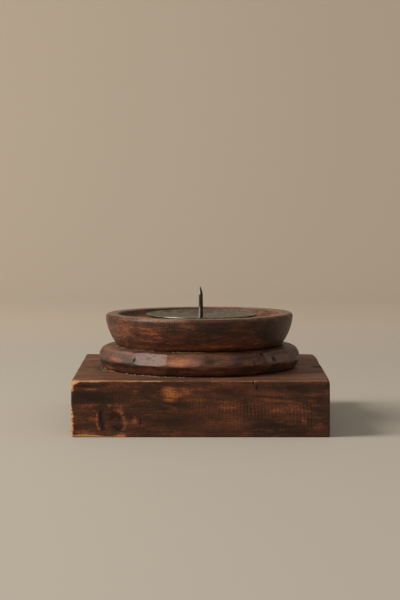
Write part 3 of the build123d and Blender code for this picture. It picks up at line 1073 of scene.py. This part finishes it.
bowl_radius = bowl_high[0]
pocket = dish_floor - NUT_POCKET_DEPTH
lip_outer = (bowl_radius - LIP_OUTER_ROUND, rim - LIP_OUTER_ROUND)
lip_inner = (lip_outer[0] - LIP_FLAT, rim - LIP_INNER_ROUND)
side_start, side_end = np.array((BOWL_FOOT_RADIUS, bowl_foot)), np.array((bowl_radius, lip_outer[1]))
chord = side_end - side_start
bulge_way = np.array((chord[1], -chord[0])) / np.linalg.norm(chord)
wall_slope = math.radians(RECESS_WALL_SLOPE)
cove_round = (rim - dish_floor) / (1 - math.cos(wall_slope)) - LIP_INNER_ROUND


def bowl_side(way):
    """A point of the bowl's bulged side, from 0 at its foot to 1 below its lip."""
    return side_start + chord * way + bulge_way * BOWL_SIDE_BULGE * 4 * way * (1 - way)


bowl_outline = [(ROD_HOLE_RADIUS, bowl_low[2])]
draw_on(
    bowl_outline, ((SPIGOT_RADIUS, bowl_low[2]), 9), ((SPIGOT_RADIUS, bowl_foot), 10),
    (tuple(side_start), 16),
)
bowl_outline += [tuple(bowl_side(way)) for way in np.linspace(0, 1, 34)[1:]]
bowl_outline += arc(lip_outer, LIP_OUTER_ROUND, 0, 90, 0.5)[1:]
draw_on(bowl_outline, ((lip_inner[0], rim), 0.6))
bowl_outline += arc(lip_inner, LIP_INNER_ROUND, 90, 90 + RECESS_WALL_SLOPE, 0.5)[1:]
cove_centre = (bowl_outline[-1][0] - cove_round * math.sin(wall_slope), dish_floor + cove_round)
bowl_outline += arc(cove_centre, cove_round, RECESS_WALL_SLOPE - 90, -90, 0.6)[1:]
draw_on(
    bowl_outline, ((NUT_RECESS_RADIUS, dish_floor), 2.5), ((NUT_RECESS_RADIUS, pocket), 4),
    ((ROD_HOLE_RADIUS, pocket), 4), (bowl_outline[0], 12),
)
print("bowl outline has", len(bowl_outline), "points")

# %% Turn the bowl
BOWL_FLATS = 24
LIP_SLOPE = math.radians(45.0)

side_slope = -math.atan2(chord[0], chord[1])
bowl_flats = {
    "Flat Count": float(BOWL_FLATS), "Flat Turn": math.radians(4.0), "Arris": 0.25 * MM,
    "Upper Slope": LIP_SLOPE, "Upper Distance": flat_distance(lip_outer, LIP_OUTER_ROUND, LIP_SLOPE),
    "Lower Slope": side_slope,
    "Lower Distance": flat_distance((side_start + side_end) / 2, BOWL_SIDE_BULGE, side_slope),
}
knife = np.random.default_rng(14)
bowl_cuts = (knife.uniform(0.0, 0.15, BOWL_FLATS), knife.uniform(0.0, 0.25, BOWL_FLATS))
bowl = turn(
    "turned_bowl", bowl_outline, bowl_wood, steps=720, seed=8, wobble=0.45, wobble_scale=80.0,
    flats=bowl_flats, cuts=bowl_cuts,
)
bowl.data.set_sharp_from_angle(angle=SHARP_ANGLE)
print("bowl has", BOWL_FLATS, "shallow flats on its lip and on its side")


# %% Where the bowl is rubbed, sooty or tooled
def on_bowl(degrees, height):
    """A point on the bowl's side, degrees round from the front, height mm above its foot."""
    return round_point(bowl_side(clamp(height / chord[1]))[0], degrees, bowl_foot + height)


BOWL_RUBS = side_marks(
    on_bowl, (-55, 14, (22, 26, 9), 0.4), (-36, 18, (14, 14, 1.5), 0.8), (-32, 14, (14, 14, 1.3), 0.8),
    (-34, 8, (14, 14, 1.6), 0.7), (-40, 3, (18, 14, 1.6), 0.8), (-18, 2.5, (24, 14, 1.8), 0.7),
    (-7, 21, (9, 12, 2.6), 0.6), (-28, 11, (8, 12, 2), 0.6), (6, 4, (26, 14, 2.4), 0.6),
    (14, 12, (14, 12, 2), 0.35), (40, 6, (16, 16, 4), 0.25), (-80, 12, (14, 22, 9), 0.35),
    (-12, 13, (12, 12, 3), 0.35), (-42, 1.2, (20, 18, 1.6), 0.7),
)
BOWL_SOOT = side_marks(
    on_bowl, (8, 17, (34, 14, 8), 0.4), (48, 13, (26, 22, 12), 0.45), (-18, 18, (10, 12, 6), 0.3),
)
BOWL_TOOLED = side_marks(on_bowl, (-18, 17, (10, 12, 8), 2.2), (-66, 12, (12, 16, 10), 1.2))
strewn = scatter_dabs(30, 21, (-77, -20, bowl_foot), (77, 77, rim), (9, 22), (0.1, 0.55))
print("bowl marks:", len(BOWL_RUBS + strewn), "rubbed,", len(BOWL_SOOT), "sooty")

# %% Paint the bowl, with painted shade at its foot and in its recess and painted highlights on its lip
LIP_TOP = (65.5, 75.4, 1.4)
RECESS_RADIUS = 68.0

bowl_points = points_of(bowl)
bowl_reach, bowl_turn = round_places(bowl_points)
x, y, z = bowl_points.T
lip_band = clamp(1.25 - np.hypot(bowl_reach - bowl_radius + 2.0, (z - rim) * 1.2) / 3.2)
lip_top = window(bowl_reach, *LIP_TOP) * clamp((z - rim + 0.9) / 0.6)
in_recess = (bowl_reach < RECESS_RADIUS) & (z > pocket)
# Painted shade: the recess floor darkens under the front of the pan, and the bowl darkens at its foot
# where it meets the ring, least on the front-left.
shade_by_pan = clamp((dish_floor + 1.6 - z) / 1.2) * clamp(-y / 30)
bowl_foot_shade = clamp((bowl_foot + 2.0 - z) / 2.0) * (1 - 0.8 * window(bowl_turn, -75, -18, 12))
# Painted highlight and sheen, laid on through the handled mark: the lip's top is made pale, partly wear
# and partly a painted highlight; its front-left round gets the lamp's painted highlight; the right of the
# recess is lightened where the lamp lights its wall; and the right side gets a painted sheen.
handled = np.maximum(lip_top * 0.75, lip_band * window(bowl_turn, -40, -9, 7) * 1.15)
handled += in_recess * clamp(x / 20) * 0.12
handled += 0.15 * window(bowl_turn, 52, 90, 10) * window(z - bowl_foot, 10, 24, 4)
# The soot mark takes the listed soot dabs and the painted shade: at the foot, under the pan, and on the
# left of the recess, in the shade of the lip.
sooty = dabs(bowl_points, BOWL_SOOT) + bowl_foot_shade * 0.6 + in_recess * (shade_by_pan + clamp(-x / 20) * 0.3)
rubbed = dabs(bowl_points, BOWL_RUBS + strewn) + lip_band * 0.2 + in_recess * 0.14
tooled = dabs(bowl_points, BOWL_TOOLED)
paint(bowl, rub=rubbed, soot=clamp(sooty), bare=0.0, handled=handled, sawn=tooled)
print("most handled spot of the lip", round(float(handled.max()), 2))

# %% Tilt the lip, which stands higher at the front
LIP_LIFT = 0.4
LIP_TILT = 0.8
LIP_SKEW = 0.35
TILT_FROM = 58.0
TILT_OVER = 8.0


def tilt_lip(piece):
    """Lifts the outer wall towards the front, most at the lip and not at all at the foot."""
    points = points_of(piece)
    out = clamp((round_places(points)[0] - TILT_FROM) / TILT_OVER)
    up = clamp((points[:, 2] - bowl_foot) / (rim - bowl_foot))
    right = points[:, 0] / bowl_radius
    skew = LIP_SKEW * (right + right**2)
    points[:, 2] += (LIP_LIFT - LIP_TILT * points[:, 1] / bowl_radius + skew) * out * up
    move_points(piece, points)


set_aside(bowl)
tilt_lip(bowl)
print("lip from", rim + LIP_LIFT - LIP_TILT, "at the back to", rim + LIP_LIFT + LIP_TILT, "at the front")
seat(bowl, "stand", "bowl")

# %% [markdown]
# ## The drip pan
#
# A disc of sheet iron, dished over a block with a hammer. It goes through the same turning tree with a
# stronger wobble for the hammer marks, and its square hole is punched with a Boolean, as a square punch
# would.

# %% Turn and punch the pan
PAN_SEAT_RADIUS = 18.0
PAN_THICKNESS = 1.4
PAN_RISE = 3.6
PAN_HOLE = 3.6
SPIKE_TURN = 26.0

pan_radius, half_sheet = pan_high[0], 0.5 * PAN_THICKNESS
dish = ((pan_radius - PAN_SEAT_RADIUS) ** 2 + PAN_RISE**2) / (2 * PAN_RISE)
dish_end = math.degrees(math.asin((pan_radius - PAN_SEAT_RADIUS) / dish))
under = [(0.0, dish_floor)]
draw_on(under, ((PAN_SEAT_RADIUS, dish_floor), 1.5))
under += arc((PAN_SEAT_RADIUS, dish_floor + dish), dish, -90, dish_end - 90, 0.8)[1:]
edge_middle = (pan_radius - half_sheet, under[-1][1] + half_sheet)
under = [p for p in under if p[0] < edge_middle[0]]
over = [(r, z + PAN_THICKNESS) for r, z in reversed(under)]
pan_outline = under + arc(edge_middle, half_sheet, -80, 80, 0.3) + over
pan = turn("hammered_pan", pan_outline, pan_iron, steps=400, seed=5, wobble=0.35, wobble_scale=160.0)
carve(pan, bore_cutter(PAN_HOLE / math.sqrt(2), dish_floor - 2, dish_floor + 4, 4, SPIKE_TURN + 45))

# %% Bend the pan off its centre, and paint its edge with a glint above and painted shade below
PAN_OFF_CENTRE = 0.9
GLINT_TURN = -26.0
GLINT_SPREAD = 13.0

pan_points = points_of(pan)
pan_reach = round_places(pan_points)[0]
pan_points[:, 0] += PAN_OFF_CENTRE * (pan_reach / pan_radius) ** 2
move_points(pan, pan_points)
over_edge = clamp((pan_reach - pan_radius + 1.5) / 0.5)
on_upper = pan_points[:, 2] > edge_middle[1] + 0.5 * half_sheet
glint = 0.2 + 0.7 * np.exp(-(((round_places(pan_points)[1] - GLINT_TURN) / GLINT_SPREAD) ** 2))
# The edge's upper side is painted bright, rubbed all round with a painted glint on the front-left; its
# underside gets painted shade through the soot mark.
paint(pan, bare=over_edge * on_upper * glint, soot=over_edge * ~on_upper * 0.8)
seat(pan, "pan", "drip_pan")

# %% [markdown]
# ## The pricket and its rod
#
# A smith drew the top of a round bar out into a square spike and left hammer planes on it, and cut a
# thread on both ends of the rod below. The spike is a stack of squares with eased corners, each a
# little off true. A thread repeats and follows a path, so a second tree sweeps a small ridge along a
# spiral.

# %% The sections of the bar
ROD_RADIUS = 3.0
ROD_SIDES = 48
THREAD_ROOT = ROD_RADIUS - 0.35
CORNER_EASE = 0.05

rod_shoulder = dish_floor - 0.4
ROD_SECTIONS = (
    (bar_low[2], ROD_RADIUS - 0.5), (bar_low[2] + 0.5, THREAD_ROOT),
    (rod_shoulder - 0.4, THREAD_ROOT), (rod_shoulder, ROD_RADIUS - 0.7),
)
SPIKE_SECTIONS = (
    (rod_shoulder, 2.9, 0, 0), (dish_floor + 1.2, 2.9, 0, 0), (dish_floor + 3, 2.85, 1.5, 0.25),
    (dish_floor + 7, 2.75, -1, 0.35), (dish_floor + 12, 2.65, 1, 0.35), (dish_floor + 17, 2.5, -1.5, 0.3),
    (tip - 6.6, 2.4, 1, 0.25), (tip - 5.2, 2.3, 0, 0.2), (tip - 4, 2.1, 1, 0.1),
    (tip - 2.8, 1.75, 0, 0), (tip - 1.2, 1.1, -2, -0.1), (tip, 0.4, 0, -0.15),
)


def rod_loop(height, radius):
    """A round of points on the rod."""
    turns = [2 * math.pi * (k + 0.5) / ROD_SIDES for k in range(ROD_SIDES)]
    return [(radius * math.cos(t), radius * math.sin(t), height) for t in turns]


def spike_loop(height, width, turned, lean):
    """Twelve points of a square with eased corners, turned in degrees and off the axis by lean."""
    loop = []
    for quarter in range(4):
        spin = Matrix.Rotation(math.radians(90 * quarter + SPIKE_TURN + turned), 2)
        for along in (-1 + 2 * CORNER_EASE, 0, 1 - 2 * CORNER_EASE):
            spot = spin @ Vector((width / 2 * along, -width / 2))
            loop.append((spot.x + lean, spot.y, height))
    return loop


print("the spike is", SPIKE_SECTIONS[0][1], "mm square at its root")


# %% Forge the bar
def skin(shape, loops):
    """Closes a stack of loops of points, in mm, into one skin."""
    loops = [[shape.verts.new([c * MM for c in point]) for point in loop] for loop in loops]
    for low, high in zip(loops, loops[1:]):
        for k in range(len(low)):
            after = (k + 1) % len(low)
            shape.faces.new((low[k], low[after], high[after], high[k]))
    shape.faces.new(loops[0][::-1])
    shape.faces.new(loops[-1])


bar_shape = bmesh.new()
skin(bar_shape, [rod_loop(*section) for section in ROD_SECTIONS])
skin(bar_shape, [spike_loop(*section) for section in SPIKE_SECTIONS])
pricket = object_of(bar_shape, "forged_pricket")
pricket.data.materials.append(pricket_iron)
print("bar has", len(pricket.data.polygons), "faces")


# %% Cut the threads with a spiral
def thread_tree():
    """A ridge along a spiral, for the threaded ends of the rod."""
    g, given, names = new_tree("thread", Float="Turns, Radius, Length, Start, Ridge", Material="Finish")
    sizes = {"Resolution": 36, "Rotations": given["Turns"], "Start Radius": given["Radius"]}
    sizes.update({"End Radius": given["Radius"], "Height": given["Length"]})
    spiral = g.add("GeometryNodeCurveSpiral", sockets=sizes)
    lift = g.join(0.0, 0.0, given["Start"])
    spiral = g.add("GeometryNodeSetPosition", sockets={"Geometry": spiral, "Offset": lift})
    ridge = g.add("GeometryNodeCurvePrimitiveCircle", sockets={"Resolution": 3, "Radius": given["Ridge"]})
    path = {"Curve": spiral, "Profile Curve": ridge, "Fill Caps": True}
    end_tree(g, g.add("GeometryNodeCurveToMesh", sockets=path), given["Finish"])
    return g.tree, names


PITCH = 1.0
RIDGE = 0.36
RIDGE_RADIUS = ROD_RADIUS - 0.34
LOWER_THREAD = 12.0
UPPER_THREAD = 7.0

thread = thread_tree()
threads = []
for name, start, length in (("lower_thread", bar_low[2] + 0.8, LOWER_THREAD),
                            ("upper_thread", rod_shoulder - 0.9 - UPPER_THREAD, UPPER_THREAD)):
    values = {"Turns": length / PITCH, "Radius": RIDGE_RADIUS * MM, "Length": length * MM}
    values.update({"Start": start * MM, "Ridge": RIDGE * MM, "Finish": pricket_iron})
    threads.append(run_tree(name, thread, values))
print("threads:", [len(t.data.polygons) for t in threads], "faces")

# %% Join the bar and its threads, and paint a highlight on the side of the spike towards the lamp
GLINT_HEIGHTS = (0, 1, 8, 12, 20, 22, 24, 27)
GLINT_SHARES = (0.0, 0.9, 0.7, 0.3, 0.2, 1.0, 0.6, 0.5)
SPIKE_SHARP_ANGLE = math.radians(24)

with bpy.context.temp_override(active_object=pricket, selected_editable_objects=[pricket, *threads]):
    bpy.ops.object.join()
pricket.data.update()
bar_normals = np.array([n.vector for n in pricket.data.vertex_normals])
# Painted highlight: faces that look left, towards the key lamp, are painted bright through the bare mark,
# most near the root and under the tip, with a little everywhere.
to_right = (math.cos(math.radians(SPIKE_TURN)), math.sin(math.radians(SPIKE_TURN)), 0)
rubbed = np.interp(points_of(pricket)[:, 2] - dish_floor, GLINT_HEIGHTS, GLINT_SHARES)
paint(pricket, bare=clamp(-bar_normals @ to_right) * rubbed + 0.1, soot=0.0)
pricket.data.shade_smooth()
pricket.data.set_sharp_from_angle(angle=SPIKE_SHARP_ANGLE)
seat(pricket, "stand", "pricket")

# %% [markdown]
# ## Crumbs in the seams
#
# Wax dust and crumbs collect in the two seams, under the bowl and under the ring, where no cloth
# reaches. They repeat along a path, so a third tree strews small lumps along a circle, lets each one
# fall on to the wood below by a ray cast, and keeps those that a patchy noise wants, most of them on
# the dusty side.


# %% Build the crumb tree
def crumb_tree():
    """Small lumps strewn round a circle and dropped on to a piece of wood."""
    g, given, names = new_tree(
        "crumbs", Object="Ground", Float="Radius, Spread, Height, Size, Sparse", Int="Count, Seed",
        Vector="Side", Material="Finish",
    )
    seam = {"Resolution": 180, "Radius": given["Radius"]}
    circle = g.add("GeometryNodeCurvePrimitiveCircle", sockets=seam)
    tries = {"Curve": circle, "Count": given["Count"]}
    points = g.add("GeometryNodeCurveToPoints", {"mode": "COUNT"}, tries)

    def chance(low, high, step):
        sockets = {2: low, 3: high, 8: given["Seed"] + step}
        return g.add("FunctionNodeRandomValue", {"data_type": "FLOAT"}, sockets, output=1)

    x, y, _ = g.parts(g.position())
    out = 1 + chance(0.0, 1.0, 0) ** 2.0 * given["Spread"] / given["Radius"]
    high = g.join(x * out, y * out, given["Height"])
    points = g.add("GeometryNodeSetPosition", sockets={"Geometry": points, "Position": high})
    ground = g.add("GeometryNodeObjectInfo", sockets={"Object": given["Ground"]}, output="Geometry")
    ray = {"Target Geometry": ground, "Ray Direction": (0.0, 0.0, -1.0), "Ray Length": 0.05}
    landed = g.add("GeometryNodeRaycast", sockets=ray).out("Hit Position")
    points = g.add("GeometryNodeSetPosition", sockets={"Geometry": points, "Position": landed})
    facing = g.vector("DOT_PRODUCT", g.vector("NORMALIZE", g.position()), given["Side"]).out("Value")
    patchy = g.noise(g.position(), 60.0, 2.0, 0.5) + facing * 0.5
    limit = {0: patchy, 1: given["Sparse"]}
    kept = g.add("FunctionNodeCompare", {"data_type": "FLOAT", "operation": "GREATER_THAN"}, limit)
    lump = g.add("GeometryNodeMeshIcoSphere", sockets={"Radius": given["Size"], "Subdivisions": 2})
    size = g.join(chance(0.5, 1.6, 1), chance(0.4, 1.0, 2), chance(0.3, 0.7, 3))
    spin = g.join(0.0, 0.0, chance(0.0, 6.28, 4))
    strewn = {"Points": points, "Selection": kept, "Instance": lump, "Rotation": spin, "Scale": size}
    end_tree(g, g.add("GeometryNodeInstanceOnPoints", sockets=strewn), given["Finish"])
    return g.tree, names


crumbs = crumb_tree()
print("crumb tree has", len(crumbs[0].nodes), "nodes")


# %% Strew both seams
def wax_dust():
    """Dull pale brown, patchy with soot."""
    material, g, shader = new_finish("wax_dust")
    mixed = g.blend(g.noise(g.place(), 420.0, 3.0, 0.6).step(0.3, 0.6), RUSSET, WAX)
    g.feed(shader, {"Base Color": mixed, "Roughness": 0.6 + g.noise(g.place(), 1500.0) * 0.3})
    return material


CRUMB_TRIES = 380
DUSTY_SIDE = (-0.52, -0.85, 0.0)
dust = wax_dust()
for name, ground, radius, spread, height, size, sparse, seed in (
    ("bowl_seam_crumbs", ring, BOWL_FOOT_RADIUS + 0.6, 2.8, bowl_foot + 6, 0.45, 0.82, 3),
    ("ring_seam_crumbs", plinth, RING_FOOT_RADIUS + 1.6, 5.5, plinth_top + 3, 0.52, 0.86, 7),
):
    values = {"Ground": ground, "Count": CRUMB_TRIES, "Sparse": sparse, "Side": DUSTY_SIDE, "Seed": seed}
    sizes = {"Radius": radius, "Spread": spread, "Height": height, "Size": size}
    values.update({key: value * MM for key, value in sizes.items()})
    piece = run_tree(name, crumbs, {**values, "Finish": dust})
    piece.data.shade_smooth()
    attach(piece, "stand")
    print(piece.name, "has", len(piece.data.polygons), "faces")

# %% [markdown]
# ## Nuts and washers
#
# Their CAD solids are already right, square nuts with eased corners and plain washers, so they stay and
# only get the oiled steel finish.

# %% Finish the fasteners
for node in ("upper_washer", "upper_nut", "lower_washer", "lower_nut"):
    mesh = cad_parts[node].data
    mesh.materials.clear()
    mesh.materials.append(fastener_steel)
print("fasteners dressed")

# %% [markdown]
# ## Stage, light and camera
#
# The stand is lit by one large soft lamp from the left and above, with a weak fill from the right and a
# faint cool one from behind. Floor and backdrop are one pale sweep, so there is no hard horizon. The
# camera is a long lens, a little above the rim.

# %% Floor and backdrop
FLOOR_COLOUR = shade(183, 174, 160)
BACKDROP_COLOUR = shade(199, 184, 164)
SWEEP_FRONT = -6.0
SWEEP_DEPTH = 1.3
SWEEP_BEND = 1.1
SWEEP_HEIGHT = 3.5
SWEEP_HALF_WIDTH = 5.0
SWEEP_DROP = -0.0001


def sweep():
    """A floor that curves up into a backdrop, far enough off to walk round the stand. It lies a trifle
    low, so that it never shares a plane with the plinth's underside."""
    section = [(SWEEP_FRONT, SWEEP_DROP), (SWEEP_DEPTH - 0.05, SWEEP_DROP)]
    for t in np.linspace(0, math.pi / 2, 48):
        rise = SWEEP_BEND - SWEEP_BEND * math.cos(t) + SWEEP_DROP
        section.append((SWEEP_DEPTH + SWEEP_BEND * math.sin(t), rise))
    section.append((SWEEP_DEPTH + SWEEP_BEND, SWEEP_HEIGHT))
    points = [(x, y, z) for y, z in section for x in (-SWEEP_HALF_WIDTH, SWEEP_HALF_WIDTH)]
    faces = [(2 * k, 2 * k + 1, 2 * k + 3, 2 * k + 2) for k in range(len(section) - 1)]
    mesh = bpy.data.meshes.new("sweep")
    mesh.from_pydata(points, [], faces)
    mesh.shade_smooth()
    paper, g, shader = new_finish("pale_paper")
    tinted = g.blend(g.parts(g.place())[1].step(0.4, 1.0), FLOOR_COLOUR, BACKDROP_COLOUR)
    g.feed(shader, {"Base Color": tinted, "Roughness": 0.85})
    mesh.materials.append(paper)
    return new_object("sweep", mesh)


sweep()
print("stage ready")


# %% Lamps and world
def lamp(name, place, target, size, power, colour):
    """A soft rectangular lamp that points at its target."""
    data = bpy.data.lights.new(name, "AREA")
    data.shape = "RECTANGLE"
    data.size, data.size_y = size
    data.energy = power
    data.color = colour
    obj = new_object(name, data)
    obj.location = place
    obj.rotation_euler = (Vector(target) - Vector(place)).to_track_quat("-Z", "Y").to_euler()


WORLD_COLOUR = (1.0, 0.97, 0.92, 1.0)
WORLD_STRENGTH = 0.26
middle = (0.0, 0.0, 0.06)
lamp("key", (-2.28, -0.51, 1.68), middle, (1.2, 1.8), 86.0, (1.0, 0.96, 0.91))
lamp("fill", (0.5, -2.2, 1.7), middle, (2.0, 1.4), 10.0, (1.0, 0.97, 0.94))
lamp("sheen", (1.2, 0.8, 1.15), middle, (0.7, 0.5), 0.7, (0.86, 0.93, 1.0))
world = bpy.data.worlds.new("studio")
world.use_nodes = True
sky = world.node_tree.nodes["Background"]
sky.inputs["Color"].default_value = WORLD_COLOUR
sky.inputs["Strength"].default_value = WORLD_STRENGTH
bpy.context.scene.world = world
bpy.context.scene.view_settings.view_transform = "Standard"
print("lamps set")

# %% Camera
IMAGE_HEIGHT = 600
FOCAL_PIXELS = 1834.9
CAMERA_PLACE = (-0.0004, -1.5105, 0.2134)
CAMERA_PITCH = 4.326

camera_data = bpy.data.cameras.new("camera")
camera_data.sensor_width = 36.0
camera_data.lens = FOCAL_PIXELS / IMAGE_HEIGHT * camera_data.sensor_width
camera = new_object("camera", camera_data)
camera.location = CAMERA_PLACE
camera.rotation_euler = (math.radians(90 - CAMERA_PITCH), 0, 0)
bpy.context.scene.camera = camera
print("lens", round(camera_data.lens, 1), "mm")
